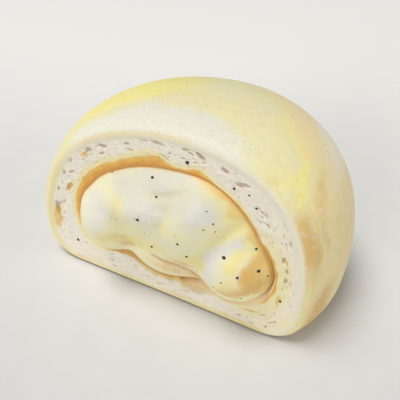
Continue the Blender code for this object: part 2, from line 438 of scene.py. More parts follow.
def skin_zones(points):
    """Shares of the skin's colours, each from 0 to 1, by places in millimetres."""
    moved = warped(points, SKIN_WARPS)
    x, y, z = (moved[..., axis] / MM for axis in range(3))
    to_right = x + 0.75 * y
    # Painted highlight: a whitish band on the top of the skin along the cut edge
    highlight_width = 4.0 + 6.0 * ramp01(x, -26, 8) * (1 - ramp01(x, 14, 26))
    cut_edge_highlight = 1 - ramp01(y, 0.55 * highlight_width, 1.3 * highlight_width)
    cut_edge_highlight = cut_edge_highlight * ramp01(z, 36, 50) * ramp01(x, -36, -18) * (1 - ramp01(to_right, 14, 31))
    lemon = ramp01(y, highlight_width, highlight_width + 7) * ramp01(z, 12, 42)
    lemon = lemon * (1 - 0.85 * ramp01(x, -14, 12)) * (1 - 0.5 * ramp01(y, 26, 44))
    # Painted half-tone: a lemon line down the skin where the lit top turns into the shaded
    # right side
    line = 0.7 * bell(to_right, 38.8 + 3.0 * ramp01(z, 50, 57), 1.9) * ramp01(z, 36, 48)
    line = line * (1 - 0.6 * ramp01(z, 55, 60)) * (1 - ramp01(y, 24, 38))
    patch = 0.6 * bell(x, 31, 5) * bell(z, 51, 5) * bell(y, 4, 4)
    shoulder = 0.5 * bell(x, -32, 12) * bell(z, 38, 14) * ramp01(y, 0.5, 4)
    # Tan crust colour and painted shade: the right side, turned from the light, is painted
    # tan; the back and the lower left are tan crust
    tan_and_shade = ramp01(to_right, 37.5, 46.0)
    behind = 0.8 * ramp01(y, 30, 50) * (1 - ramp01(z, 18, 52))
    left = 0.5 * ramp01(-x, 36, 50) * (1 - ramp01(z, 8, 36))
    # Painted shade in ochre on the skin's right side, beside the cut edge, in a streak and
    # low by the foot, with an ochre spot at the top right of the cut
    ochre_shade = 0.9 * bell(x, 40.0, 5.5) * bell(z, 37.0, 13.0) * (1 - ramp01(y, 0.5, 5.5))
    streak = 0.5 * bell(to_right, 46.5, 3.0) * ramp01(z, 20, 40)
    streak = streak * (1 - ramp01(z, 50, 55)) * (1 - ramp01(y, 17, 27))
    ochre_shade = np.maximum(ochre_shade, streak)
    low_right = 0.9 * bell(to_right, 50.0, 6.0) * (1 - ramp01(z, 14, 28))
    low_right = low_right * (1 - ramp01(y, 12, 22))
    spot = 0.8 * bell(x, 30.5, 3.0) * bell(z, 52.0, 2.2) * bell(y, 0.8, 2.0)
    return {
        "cut_edge_highlight": cut_edge_highlight,
        "lemon": np.clip(lemon + line + patch + shoulder, 0, 1),
        "tan_and_shade": np.maximum(np.maximum(tan_and_shade, behind), left),
        "pink": ramp01(y, 8, 26),
        # Painted light: the upper right rim, which the key light barely reaches, is painted
        # lighter
        "right_rim_light": ramp01(to_right, 49, 57) * ramp01(z, 40, 50) * (1 - ramp01(y, 26, 42)),
        "ochre_shade": np.maximum(np.maximum(ochre_shade, spot), low_right),
        "foot": 1 - ramp01(z, 0.8, 2.5 + 8.5 * ramp01(y, 0, 5)),
        # Painted contact shadow: a dark line along the lowest millimetre and a half, where
        # the bun meets the floor
        "contact_shade": 1 - ramp01(points[..., 2] / MM, 0.5, 1.5),
    }


def face_zones(points, around, rim, flat_skin):
    """Shares of the cut face's colours, each from 0 to 1, by places in millimetres."""
    moved = warped(points, FACE_WARPS)
    radius = np.hypot(*(moved - HUB)[..., (0, 2)].transpose(2, 0, 1))
    to_skin = (flat_skin - radius) / MM
    to_rim = (radius - rim) / MM
    angle = degrees_round(around)
    x, z = moved[..., 0] / MM, moved[..., 2] / MM
    soaked = np.interp(angle, *zip(*SOAKED_WIDTHS))
    stain = 1 - ramp01(to_rim, 0.75 * soaked, 1.15 * soaked)
    scooped = ramp01(lump_field(ring_at(around, rim, 0.0)), *SCOOPED)
    stain = stain * (1 - (1 - LEAST_SCOOP_STAIN) * scooped)
    deep = 1 - ramp01(to_rim, 0.1 * soaked, 0.9 * soaked)
    to_filling = lump_field(points) / MM
    below = ramp01(angle, 196, 214) * (1 - ramp01(angle, 296, 312))
    # Painted shadow line along the filling's edge, wider below the filling
    line_width = 0.6 + 1.5 * below * (1 - ramp01(angle, 268, 284))
    seam = 1 - ramp01(to_filling, 0.4 * line_width, line_width)
    # Painted shade on the cut face under the filling's lower outline
    under = below * (1 - ramp01(to_rim, 1.6, 5.2))
    fringe = 1 - ramp01(to_rim, soaked, 1.5 * soaked + 1.4)
    upper_left = ramp01(angle, 66, 90) * (1 - ramp01(angle, 160, 185))
    beige = 0.5 * (1 - ramp01(to_skin, 1.9, 2.8)) * upper_left
    low = (1 - ramp01(z, 1.2, 3.8)) * (0.5 + 0.5 * ramp01(x, -30, -16))
    left = 0.8 * (1 - ramp01(to_skin, 2.4, 4.4)) * ramp01(angle, 150, 175)
    left = left * (1 - ramp01(angle, 208, 226))
    corner = 0.6 * bell(x, 39.5, 4.5) * bell(z, 9.5, 5.0) * bell(to_skin, 2.8, 1.6)
    beside_rim = bell(to_rim, 3.0, 1.3) * ramp01(x, 22, 30) * (1 - ramp01(z, 30, 44))
    sallow = 0.35 * ramp01(x, 24, 36) + 0.2 * (1 - ramp01(z, 6, 16)) + 0.7 * beside_rim
    return {
        "stain": stain,
        "deep": deep,
        "seam": seam,
        "under": under,
        "fringe": fringe,
        "beige": beige,
        "butter": np.clip(low + corner + left, 0, 1),
        "sallow": np.clip(sallow, 0, 1),
        "lip": 1 - ramp01(to_skin, 2.4, 3.8),
    }


class Rings:
    """Rings of points over the bun, with each point's shares of what it is made of and of
    its painted light and shade.
    """

    def __init__(self, around):
        self.around = around
        self.points, self.shares, self.grain = [], [], []

    def add(self, points, to_skin=0.0, **given):
        self.points.append(points)
        self.shares.append(given)
        layer = np.broadcast_to(to_skin, SEGMENTS) / CRUMB_LAYER
        across = self.around * GRAIN_ROUND
        self.grain.append(np.stack((across[:, 0], across[:, 2], layer), axis=-1))

    def finished(self):
        points = np.array(self.points)
        points[..., 2] = np.clip(points[..., 2], 0.0, None)
        layers = {}
        for name in sorted({name for given in self.shares for name in given}):
            values = [given.get(name, 0.0) for given in self.shares]
            values = [np.broadcast_to(value, SEGMENTS) for value in values]
            layers[name] = np.array(values, dtype=float)
        layers.update(skin_zones(points))
        layers["grain"] = np.array(self.grain)
        return points, layers


def add_pocket(rings, rim, darkest):
    to_rim = unit(ring_at(rings.around, rim, RIM_ROUND) - HEART)
    full_turn = np.arccos(to_rim[:, 1])
    outward = unit(to_rim * (1.0, 0.0, 1.0))
    for step in range(POCKET_RINGS):
        share = (step / POCKET_RINGS) ** POCKET_CROWDING
        turn = (full_turn * share)[:, None]
        directions = np.cos(turn) * DEEP + np.sin(turn) * outward
        distance = reach(HEART, directions, pocket_field)
        points = HEART + directions * distance[:, None]
        if step:
            bumps = waves(points, WALL_WAVES) - WALL_SET_BACK
            points = points + directions * (bumps * MM)[:, None]
        # Painted shadow line on the pocket wall near the filling
        near = 1 - ramp01(lump_field(points), *SEAM_SHADE_SPAN)
        rings.add(points, wall=1.0, seam=near * darkest)


def add_rim(rings, rim, darkest):
    to_filling = lump_field(ring_at(rings.around, rim, 0.0))
    # Painted shadow line on the rim beside the filling
    beside = 1 - ramp01(to_filling, *SEAM_SHADE_SPAN)
    scooped = ramp01(to_filling, *SCOOPED)
    for step in range(RIM_RINGS + 1):
        turn = math.pi / 2 * step / RIM_RINGS
        radius = rim + RIM_ROUND * (1 - math.cos(turn))
        depth = RIM_ROUND * (1 - math.sin(turn))
        rings.add(
            ring_at(rings.around, radius, depth),
            wall=1 - step / RIM_RINGS,
            stain=1 - (1 - LEAST_SCOOP_STAIN) * scooped,
            fringe=1 - (1 - LEAST_SCOOP_FRINGE) * scooped,
            seam=beside * darkest,
        )


def add_face(rings, rim, flat_skin):
    """Adds the cut face, and returns the zones of its outermost ring."""
    inner, outer = rim + RIM_ROUND, flat_skin - EDGE_ROUND
    steps = range(1, CRUMB_RINGS)
    radii = np.stack([inner + (outer - inner) * step / CRUMB_RINGS for step in steps])
    face = np.stack([ring_at(rings.around, radius, 0.0) for radius in radii])
    zones = face_zones(face, rings.around, rim, flat_skin)
    relief, inside, honey = crumb_relief(face, flat_skin - radii, radii - rim)
    face = face + DEEP * relief[..., None]
    zones.update(pore=inside, honey=honey)
    for step, points in enumerate(face):
        given = {name: values[step] for name, values in zones.items()}
        rings.add(points, flat_skin - radii[step], **given)
    return {name: values[-1] for name, values in zones.items()}


def add_edge(rings, zones):
    zones = dict(zones, lip=1.0, pore=0.0)
    angle = degrees_round(rings.around)
    creased = 0.2 + 0.8 * ramp01(angle, 62, 84) * (1 - ramp01(angle, 165, 185))
    for step in range(EDGE_RINGS + 1):
        turn = math.pi / 2 * step / EDGE_RINGS
        depth = EDGE_ROUND * (1 - math.cos(turn))
        inset = EDGE_ROUND * (1 - math.sin(turn))
        radius = skin_radius(rings.around, depth) - inset
        zones["skin"] = ramp01(depth, 0.05 * MM, 0.5 * MM)
        zones["crease"] = bell(depth, 0.3 * MM, 0.28 * MM) * creased
        rings.add(ring_at(rings.around, radius, depth), inset, **zones)


def add_skin(rings):
    around = rings.around
    start_turn = np.arctan(EDGE_ROUND / skin_radius(around, EDGE_ROUND))
    for step in range(1, SKIN_RINGS + 1):
        turn = start_turn + (math.pi / 2 - start_turn) * (step / SKIN_RINGS)
        directions = np.cos(turn)[:, None] * around + np.sin(turn)[:, None] * DEEP
        points = HUB + directions * reach(HUB, directions, bun_field)[:, None]
        rings.add(points, skin=1.0, lip=1.0)


def bun_surface():
    """Points from the pocket's depth, over the cut face, to the back of the skin."""
    rings = Rings(spokes(SEGMENTS))
    flat_skin = skin_radius(rings.around, 0.0)
    wave = waves(rings.around * RIM_WAVE_RADIUS, RIM_WAVES)
    rim = reach(HUB, rings.around, pocket_field) + np.clip(wave, 0.0, MOST_RIM_WAVE) * MM
    # Strength of the painted shadow line at the filling's edge, less on the right
    darkest = 1 - 0.9 * ramp01(rings.around[:, 0], 0.3, 0.8)
    add_pocket(rings, rim, darkest)
    add_rim(rings, rim, darkest)
    zones = add_face(rings, rim, flat_skin)
    add_edge(rings, zones)
    add_skin(rings)
    return rings.finished()


def closed_mesh(name, rings, shares):
    """A closed surface over rings of points whose first and last ring are single points."""
    count, segments = rings.shape[:2]
    points = np.concatenate((rings[:1, 0], rings[1:-1].reshape(-1, 3), rings[-1:, 0]))
    body = np.arange((count - 2) * segments).reshape(count - 2, segments) + 1
    after = np.roll(body, -1, axis=1)
    quads = np.stack((body[:-1], body[1:], after[1:], after[:-1]), axis=-1).reshape(-1, 4)
    last = len(points) - 1
    start = [(0, int(a), int(b)) for a, b in zip(body[0], after[0])]
    end = [(last, int(b), int(a)) for a, b in zip(body[-1], after[-1])]
    faces = start + quads.tolist() + end
    mesh = bpy.data.meshes.new(name)
    mesh.from_pydata((points + SHIFT).tolist(), [], faces)
    for share, values in shares.items():
        vector = values.ndim == 3
        middle = values[1:-1].reshape((-1,) + values.shape[2:])
        flat = np.concatenate((values[:1, 0], middle, values[-1:, 0]))
        layer = mesh.attributes.new(share, "FLOAT_VECTOR" if vector else "FLOAT", "POINT")
        key = "vector" if vector else "value"
        layer.data.foreach_set(key, flat.astype(np.float32).reshape(-1))
    mesh.shade_smooth()
    return placed(name, mesh)


# Custard


# Bumps are (x, z, radius, height), folds are (line, depth, width), in millimetres
CUSTARD_BUMPS = (
    (-1.1, 37.0, 4.6, 0.8),
    (15.5, 42.2, 5.2, 0.8),
    (-15.5, 31.0, 6.0, 0.4),
    (-12.0, 23.0, 4.0, 0.3),
    (8.0, 30.0, 6.0, 0.4),
    (23.0, 29.0, 4.5, 0.5),
)
CUSTARD_FOLDS = (
    (((1.2, 20.9), (4.4, 20.2), (8.6, 20.3), (12.0, 19.3), (15.2, 17.8)), 0.5, 0.7),
)
CUSTARD_DIPS = (
    (((27.5, 41.0), (23.0, 37.6), (19.2, 33.5), (17.0, 29.0), (16.4, 24.0)), 0.45, 1.7),
    (((-13.0, 22.4), (-9.5, 23.9), (-5.5, 22.0)), 0.35, 1.5),
    (((2.0, 41.6), (6.4, 43.0), (11.0, 45.6)), 0.3, 1.0),
    (((4.8, 34.0), (6.6, 38.5), (6.8, 42.0)), 0.35, 1.8),
    (((-7.6, 40.5), (-8.4, 35.0), (-8.8, 29.5)), 0.3, 1.8),
)

# Colour patches on the filling's front: (x, z, half width, half height, strength)
# Painted highlights on the filling's swellings, and a crescent on the upper left of the
# round lobe
HIGHLIGHT_PATCHES = (
    (-16.0, 31.0, 5.5, 7.0, 0.8),
    (-8.0, 41.0, 5.0, 3.0, 0.6),
    (-1.1, 37.1, 4.5, 4.2, 1.0),
    (4.0, 38.3, 2.5, 3.5, 0.6),
    (15.5, 42.6, 5.0, 3.0, 1.0),
    (11.2, 47.4, 6.0, 1.6, 0.6),
    (-1.0, 45.5, 7.0, 2.0, 0.6),
    (18.5, 23.5, 1.7, 2.6, 0.9),
    (18.9, 28.3, 2.0, 3.2, 1.0),
    (20.8, 32.3, 2.2, 1.8, 1.0),
    (23.9, 34.7, 2.6, 1.5, 1.0),
    (26.6, 36.4, 1.6, 1.4, 0.7),
)
LEMON_PATCHES = (
    (-8.2, 34.0, 1.6, 5.5, 0.15),
    (-14.9, 24.4, 4.0, 2.5, 0.5),
    (3.5, 42.0, 4.0, 1.3, 0.2),
    (10.2, 45.0, 4.0, 1.4, 0.4),
    (10.6, 42.8, 1.5, 1.2, 0.4),
    (21.0, 46.5, 5.0, 2.6, 0.35),
    (25.0, 41.0, 3.0, 4.5, 0.45),
    (21.8, 39.5, 3.0, 3.0, 0.3),
    (17.4, 36.0, 4.5, 4.0, 0.35),
    (4.0, 29.5, 6.0, 3.0, 0.2),
    (0.2, 24.0, 7.0, 3.0, 0.5),
    (11.0, 25.5, 7.0, 2.6, 0.4),
    (-5.0, 24.0, 4.0, 3.0, 0.6),
    (23.6, 28.3, 2.4, 2.8, 0.8),
    (25.2, 31.4, 2.4, 1.6, 0.7),
    (24.5, 23.5, 3.0, 2.5, 0.6),
    (14.2, 25.4, 3.5, 3.0, 0.6),
    (20.5, 21.5, 3.0, 2.5, 0.5),
)
# Painted shade in ochre on the filling: its lower left, under the fold, and the right and
# lower side of the round lobe
OCHRE_SHADE_PATCHES = (
    (-10.3, 23.3, 3.0, 2.2, 0.35),
    (-7.9, 20.6, 3.0, 1.6, 0.6),
    (-22.0, 13.5, 3.4, 2.4, 0.5),
    (6.0, 18.4, 7.5, 2.6, 0.5),
    (9.5, 22.5, 4.5, 1.6, 0.5),
    (14.5, 18.0, 3.0, 1.5, 0.6),
    (29.3, 28.3, 2.6, 3.2, 0.8),
    (28.7, 25.5, 2.8, 2.6, 0.7),
    (30.9, 23.8, 2.0, 3.0, 0.7),
    (25.5, 20.8, 5.0, 2.2, 0.6),
    (29.5, 21.5, 2.5, 2.0, 0.6),
)


def to_line(x, z, line):
    """Distance in the cut plane to a line through a few places, in millimetres."""
    best = np.full(x.shape, 1e9)
    for (ax, az), (bx, bz) in zip(line[:-1], line[1:]):
        dx, dz = bx - ax, bz - az
        t = np.clip(((x - ax) * dx + (z - az) * dz) / (dx * dx + dz * dz), 0, 1)
        best = np.minimum(best, np.hypot(x - ax - t * dx, z - az - t * dz))
    return best


def custard_relief(x, z):
    """How far the filling's front stands out, in millimetres, and its shares of creases."""
    lift = np.zeros(x.shape)
    for bx, bz, radius, height in CUSTARD_BUMPS:
        lift += height * np.exp(-((x - bx) ** 2 + (z - bz) ** 2) / radius**2)
    creases = {}
    for name, lines in (("fold", CUSTARD_FOLDS), ("dip", CUSTARD_DIPS)):
        share = np.zeros(x.shape)
        for line, depth, width in lines:
            crease = bell(to_line(x, z, line), 0, width)
            lift -= depth * crease
            share = np.maximum(share, crease)
        creases[name] = share
    return lift, creases


def inside_outline(x, z, around):
    """Angle of each place round the hub, and how far it is inside the filling's outline."""
    outline = reach(HUB, around, lump_field) / MM
    spoke_angle = np.arctan2(around[:, 2], around[:, 0])
    across, up = x - HUB[0] / MM, z - HUB[2] / MM
    angle = np.arctan2(up, across)
    outline = np.interp(angle, spoke_angle, outline, period=2 * math.pi)
    return angle, outline - np.hypot(across, up)


def custard_zones(points, around, front):
    """Shares of the filling's colours, each from 0 to 1, by places in millimetres."""
    moved = warped(points, CUSTARD_WARPS)
    x, z = moved[..., 0] / MM, moved[..., 2] / MM
    angle, inset = inside_outline(x, z, around)
    to_right = ramp01(np.cos(angle - math.radians(12)), 0.35, 0.95)
    to_right = np.clip(to_right + 0.35 * bell(angle, math.radians(120), 0.7), 0, 1)
    turned = np.degrees(angle) % 360
    below = ramp01(turned, 190, 215) * (1 - ramp01(turned, 312, 335))
    zones = {
        # Painted amber shade where the filling runs back behind the cut into the pocket
        "recess_shade": ramp01(points[..., 1], -0.3 * MM, 0.05 * MM),
        "edge": (1 - ramp01(inset, 0.2, 1.4)) * to_right,
        "glow": (1 - ramp01(inset, 0.4, 4.0)) * to_right,
        # Painted shade along the filling's lower edge, darker towards its outline
        "underside_shade": (1 - ramp01(inset, 1.2, 4.2)) * below * front,
        # Painted shade on the upper front, which faces the key light, and painted light on
        # the lower front, which it barely reaches
        "high": ramp01(z, 35, 45) * front,
        "low": (1 - ramp01(z, 16, 32)) * front,
    }
    for name, patches in (
        ("painted_highlight", HIGHLIGHT_PATCHES),
        ("lemon", LEMON_PATCHES),
        ("ochre_shade", OCHRE_SHADE_PATCHES),
    ):
        rest = np.ones(x.shape)
        for px, pz, wide, tall, strength in patches:
            far = ((x - px) / wide) ** 2 + ((z - pz) / tall) ** 2
            rest = rest * (1 - strength * np.exp(-(far**1.5)))
        zones[name] = (1 - rest) * front
    return zones


def custard_surface():
    """Rings of points from the filling's back to its front, and their zones."""
    around = spokes(CUSTARD_SEGMENTS)
    turns = np.pi * (np.arange(CUSTARD_RINGS + 1) / CUSTARD_RINGS)
    turns = turns[:, None, None]
    directions = np.cos(turns) * DEEP + np.sin(turns) * around[None]
    distance = reach(HEART, directions, lump_field)
    points = HEART + directions * distance[..., None]
    front = ramp01(-points[..., 1], -5.0 * MM, -1.0 * MM)
    lift, creases = custard_relief(points[..., 0] / MM, points[..., 2] / MM)
    lift += waves(points, CUSTARD_WAVES)
    shares = custard_zones(points, around, front)
    shares.update({name: share * front for name, share in creases.items()})
    return points - DEEP * (lift * front * MM)[..., None], shares


# Vanilla specks


def front_of(tree, x, z):
    """The place on a piece's front before a place in the cut plane, and its normal."""
    x, z = x * MM + SHIFT[0], z * MM
    place, normal, _, _ = tree.ray_cast(Vector((x, IN_FRONT, z)), Vector(DEEP))
    return place, normal


def flake_points(place, normal, radius, chance):
    """Points of one small crumpled flake, in rows from its top to its bottom."""
    tilt = Vector(normal).to_track_quat("Z", "Y")
    stretch = Vector((1.0, chance.uniform(*SPECK_WIDTHS), SPECK_THICKNESS))
    turn = chance.uniform(0, 2 * math.pi)
    points = []
    for row in range(SPECK_ROWS + 1):
        up = math.pi * row / SPECK_ROWS
        for column in range(SPECK_COLUMNS if 0 < row < SPECK_ROWS else 1):
            round_angle = turn + 2 * math.pi * column / SPECK_COLUMNS
            size = radius * chance.uniform(*SPECK_UNEVENNESS)
            local = Vector(
                (
                    math.sin(up) * math.cos(round_angle) * stretch.x,
                    math.sin(up) * math.sin(round_angle) * stretch.y,
                    math.cos(up) * stretch.z,
                )
            )
            points.append(Vector(place) + tilt @ (local * size))
    return points


def flake_faces(top):
    """Faces of one flake, given the number of its top point."""
    first_row = top + 1
    last_row = first_row + (SPECK_ROWS - 2) * SPECK_COLUMNS
    bottom = last_row + SPECK_COLUMNS
    faces = []
    for column in range(SPECK_COLUMNS):
        after = (column + 1) % SPECK_COLUMNS
        faces.append((top, first_row + column, first_row + after))
        for low in range(first_row, last_row, SPECK_COLUMNS):
            high = low + SPECK_COLUMNS
            faces.append((low + column, high + column, high + after, low + after))
        faces.append((bottom, last_row + after, last_row + column))
    return faces


def speck_mesh(name, places, chance):
    """Flakes of vanilla, each a closed pebble, joined in one mesh."""
    points, faces = [], []
    for place, normal, radius in places:
        faces += flake_faces(len(points))
        points += flake_points(place, normal, radius, chance)
    mesh = bpy.data.meshes.new(name)
    mesh.from_pydata(points, [], faces)
    mesh.shade_smooth()
    return placed(name, mesh)


# Materials


def colour(red, green, blue):
    """Linear colour from 0 to 255 display values."""

    def linear(value):
        value /= 255
        return value / 12.92 if value <= 0.04045 else ((value + 0.055) / 1.055) ** 2.4

    return (linear(red), linear(green), linear(blue), 1.0)


# Colours of the skin
CREAM = colour(226, 220, 182)
CREAM_YELLOW = colour(230, 222, 170)
LEMON = colour(238, 227, 142)
# Painted highlight on the skin's top along the cut edge
HIGHLIGHT_CREAM = colour(224, 222, 211)
# Tan crust, also used as painted shade on the right side
TAN_AND_SHADE = colour(240, 216, 160)
PINK_TAN = colour(238, 218, 178)
# Painted light on the upper right rim
RIM_LIGHT_CREAM = colour(236, 230, 212)
# Painted shade in ochre on the skin
OCHRE_SHADE = colour(216, 178, 108)
STRAND_DARK = colour(244, 238, 214)
FRECKLE = colour(236, 232, 212)
CREASE = colour(226, 210, 164)
FOOT = colour(220, 186, 118)
# Painted contact shadow along the bottom edge
CONTACT_SHADE = colour(150, 118, 92)

# Colours of the cut face and of the pocket
CRUMB_LIGHT = colour(241, 234, 222)
CRUMB_DARK = colour(231, 222, 204)
CRUMB_YELLOW = colour(232, 222, 164)
# Painted shade in the crumb's pores
PORE_SHADE = colour(188, 162, 126)
HONEY = colour(228, 192, 112)
LIP = colour(230, 224, 204)
BEIGE = colour(232, 214, 164)
BUTTER = colour(236, 222, 150)
FRINGE = colour(236, 222, 158)
# Painted shade under the filling
UNDER_FILLING_SHADE = colour(208, 182, 126)
SOAKED = colour(228, 184, 98)
SOAKED_DEEP = colour(216, 152, 74)
# Painted shadow line where the filling meets the bread
SEAM_SHADE = colour(196, 146, 82)
WALL = colour(255, 244, 214)
WALL_DEEP = colour(252, 228, 184)

# Colours of the filling
CUSTARD = colour(226, 222, 199)
CUSTARD_YELLOW = colour(230, 224, 182)
# Painted light on the filling's lower front
CUSTARD_LOW_LIGHT = colour(240, 230, 184)
CUSTARD_LEMON = colour(232, 218, 142)
# Painted highlight on the filling
CUSTARD_HIGHLIGHT = colour(223, 220, 209)
# Painted shade on the filling's upper front
CUSTARD_TOP_SHADE = colour(206, 206, 197)
CUSTARD_EDGE = colour(226, 190, 106)
# Painted shade in ochre on the filling
CUSTARD_OCHRE_SHADE = colour(216, 174, 98)
# Painted shade along the filling's lower edge
UNDERSIDE_SHADE = colour(226, 204, 140)
# Painted shade in the fold's crease
FOLD_SHADE = colour(204, 156, 96)
# Painted amber shade where the filling runs back into the pocket
RECESS_SHADE = colour(230, 190, 122)

# Colours of the vanilla and of the floor
VANILLA_DARK = colour(24, 18, 14)
VANILLA_BROWN = colour(52, 38, 26)
# Floor painted darker near the front and lighter far off
FLOOR_NEAR_SHADE = colour(205, 206, 207)
FLOOR_FAR_LIGHT = colour(238, 237, 234)


class Nodes:
    """Short calls for a material's nodes."""

    def __init__(self, name):
        self.material = bpy.data.materials.new(name)
        self.material.use_nodes = True
        self.tree = self.material.node_tree
        self.shader = self.tree.nodes["Principled BSDF"]

    def make(self, kind, inputs=None, **settings):
        node = self.tree.nodes.new(kind)
        for key, value in settings.items():
            setattr(node, key, value)
        for key, value in (inputs or {}).items():
            self.feed(node.inputs[key], value)
        return node

    def feed(self, socket, value):
        if isinstance(value, bpy.types.NodeSocket):
            self.tree.links.new(value, socket)
        else:
            socket.default_value = value

    def share(self, name):
        return self.make("ShaderNodeAttribute", attribute_name=name).outputs["Fac"]

    def place(self):
        return self.make("ShaderNodeTexCoord").outputs["Object"]

    def scaled(self, vector, scale):
        return self.make(
            "ShaderNodeMapping", {"Vector": vector, "Scale": scale}
        ).outputs["Vector"]

    def noise(self, vector, scale, detail=3.0, roughness=0.5, distortion=0.0):
        return self.make(
            "ShaderNodeTexNoise",
            {
                "Vector": vector,
                "Scale": scale,
                "Detail": detail,
                "Roughness": roughness,
                "Distortion": distortion,
            },
        ).outputs["Fac"]

    def maths(self, operation, a, b):
        node = self.make("ShaderNodeMath", operation=operation)
        self.feed(node.inputs[0], a)
        self.feed(node.inputs[1], b)
        return node.outputs[0]

    def spread(self, value, low, high, out_low=0.0, out_high=1.0):
        return self.make(
            "ShaderNodeMapRange",
            {
                "Value": value,
                "From Min": low,
                "From Max": high,
                "To Min": out_low,
                "To Max": out_high,
            },
            interpolation_type="SMOOTHSTEP",
        ).outputs[0]

    def mix(self, share, a, b, blend="MIX"):
        node = self.make("ShaderNodeMix", data_type="RGBA", blend_type=blend)
        self.feed(node.inputs[0], share)
        self.feed(node.inputs[6], a)
        self.feed(node.inputs[7], b)
        return node.outputs[2]

    def bump(self, height, distance, strength=1.0, normal=None):
        inputs = {"Height": height, "Distance": distance, "Strength": strength}
        if normal is not None:
            inputs["Normal"] = normal
        return self.make("ShaderNodeBump", inputs).outputs["Normal"]

    def split(self, vector):
        return self.make("ShaderNodeSeparateXYZ", {"Vector": vector}).outputs

    def put(self, **values):
        for key, value in values.items():
            self.feed(self.shader.inputs[key.replace("_", " ")], value)


def breaker(n, mottle, usual, edge):
    """A function that gives a zone's share times a strength, broken up by mottling."""

    def broken(name, strength, amount=usual):
        away = n.maths("SUBTRACT", mottle, 0.5)
        share = n.maths("ADD", n.share(name), n.maths("MULTIPLY", away, amount))
        return n.spread(share, edge, 1 - edge, 0.0, strength)

    return broken


def skin_colour(n, place, broken):
    cloud = n.noise(place, 70.0, 4.0, 0.6)
    streak = n.noise(n.scaled(place, (90.0, 90.0, 260.0)), 1.0, 5.0, 0.65, 0.4)
    strand = n.noise(n.scaled(place, (900.0, 900.0, 240.0)), 1.0, 4.0, 0.7, 0.5)
    freckle = n.noise(place, 620.0, 3.0, 0.7)
    tan_and_shade = n.mix(n.spread(streak, 0.35, 0.7), TAN_AND_SHADE, CREAM_YELLOW)
    tan_and_shade = n.mix(broken("pink", 0.7), tan_and_shade, PINK_TAN)
    skin = n.mix(n.spread(cloud, 0.35, 0.65), CREAM, CREAM_YELLOW)
    skin = n.mix(n.spread(streak, 0.5, 0.75, 0.0, 0.3), skin, LEMON)
    skin = n.mix(broken("lemon", 0.95), skin, LEMON)
    # Tan crust and painted shade on the right side
    skin = n.mix(broken("tan_and_shade", 0.9), skin, tan_and_shade)
    # Painted light on the upper right rim
    skin = n.mix(broken("right_rim_light", 0.75), skin, RIM_LIGHT_CREAM)
    # Painted highlight along the top of the cut edge
    skin = n.mix(broken("cut_edge_highlight", 0.9), skin, HIGHLIGHT_CREAM)
    # Painted shade in ochre on the skin's right side
    skin = n.mix(broken("ochre_shade", 0.85), skin, OCHRE_SHADE)
    skin = n.mix(n.spread(strand, 0.48, 0.7, 0.0, 0.55), skin, STRAND_DARK, "MULTIPLY")
    return n.mix(n.spread(freckle, 0.5, 0.7, 0.0, 0.35), skin, FRECKLE)


def crumb_colour(n, place, layers, lip, broken):
    """Crumb with painted shade in its pores, custard soaked in beside the pocket, a painted
    shadow line at the filling's edge and painted shade under the filling.
    """
    cotton = n.noise(place, 700.0, 3.0, 0.6)
    soaked = n.mix(broken("deep", 1.0, 1.0), SOAKED, SOAKED_DEEP)
    crumb = n.mix(n.spread(layers, 0.3, 0.7), CRUMB_DARK, CRUMB_LIGHT)
    crumb = n.mix(n.spread(cotton, 0.5, 0.75, 0.0, 0.4), crumb, CRUMB_LIGHT)
    crumb = n.mix(broken("sallow", 0.7, 0.7), crumb, CRUMB_YELLOW)
    # Painted shade in the crumb's pores
    crumb = n.mix(n.maths("MULTIPLY", n.share("pore"), 0.65), crumb, PORE_SHADE)
    crumb = n.mix(broken("honey", 0.85), crumb, HONEY)
    crumb = n.mix(lip, crumb, LIP)
    crumb = n.mix(broken("beige", 0.75), crumb, BEIGE)
    crumb = n.mix(broken("butter", 0.7), crumb, BUTTER)
    crumb = n.mix(broken("fringe", 0.7), crumb, FRINGE)
    # Painted shade under the filling
    crumb = n.mix(broken("under", 0.7, 0.8), crumb, UNDER_FILLING_SHADE)
    crumb = n.mix(broken("stain", 1.0, 0.35), crumb, soaked)
    # Painted shadow line at the filling's edge
    crumb = n.mix(broken("seam", 0.75, 0.5), crumb, SEAM_SHADE)
    return n.mix(broken("crease", 0.8), crumb, CREASE)


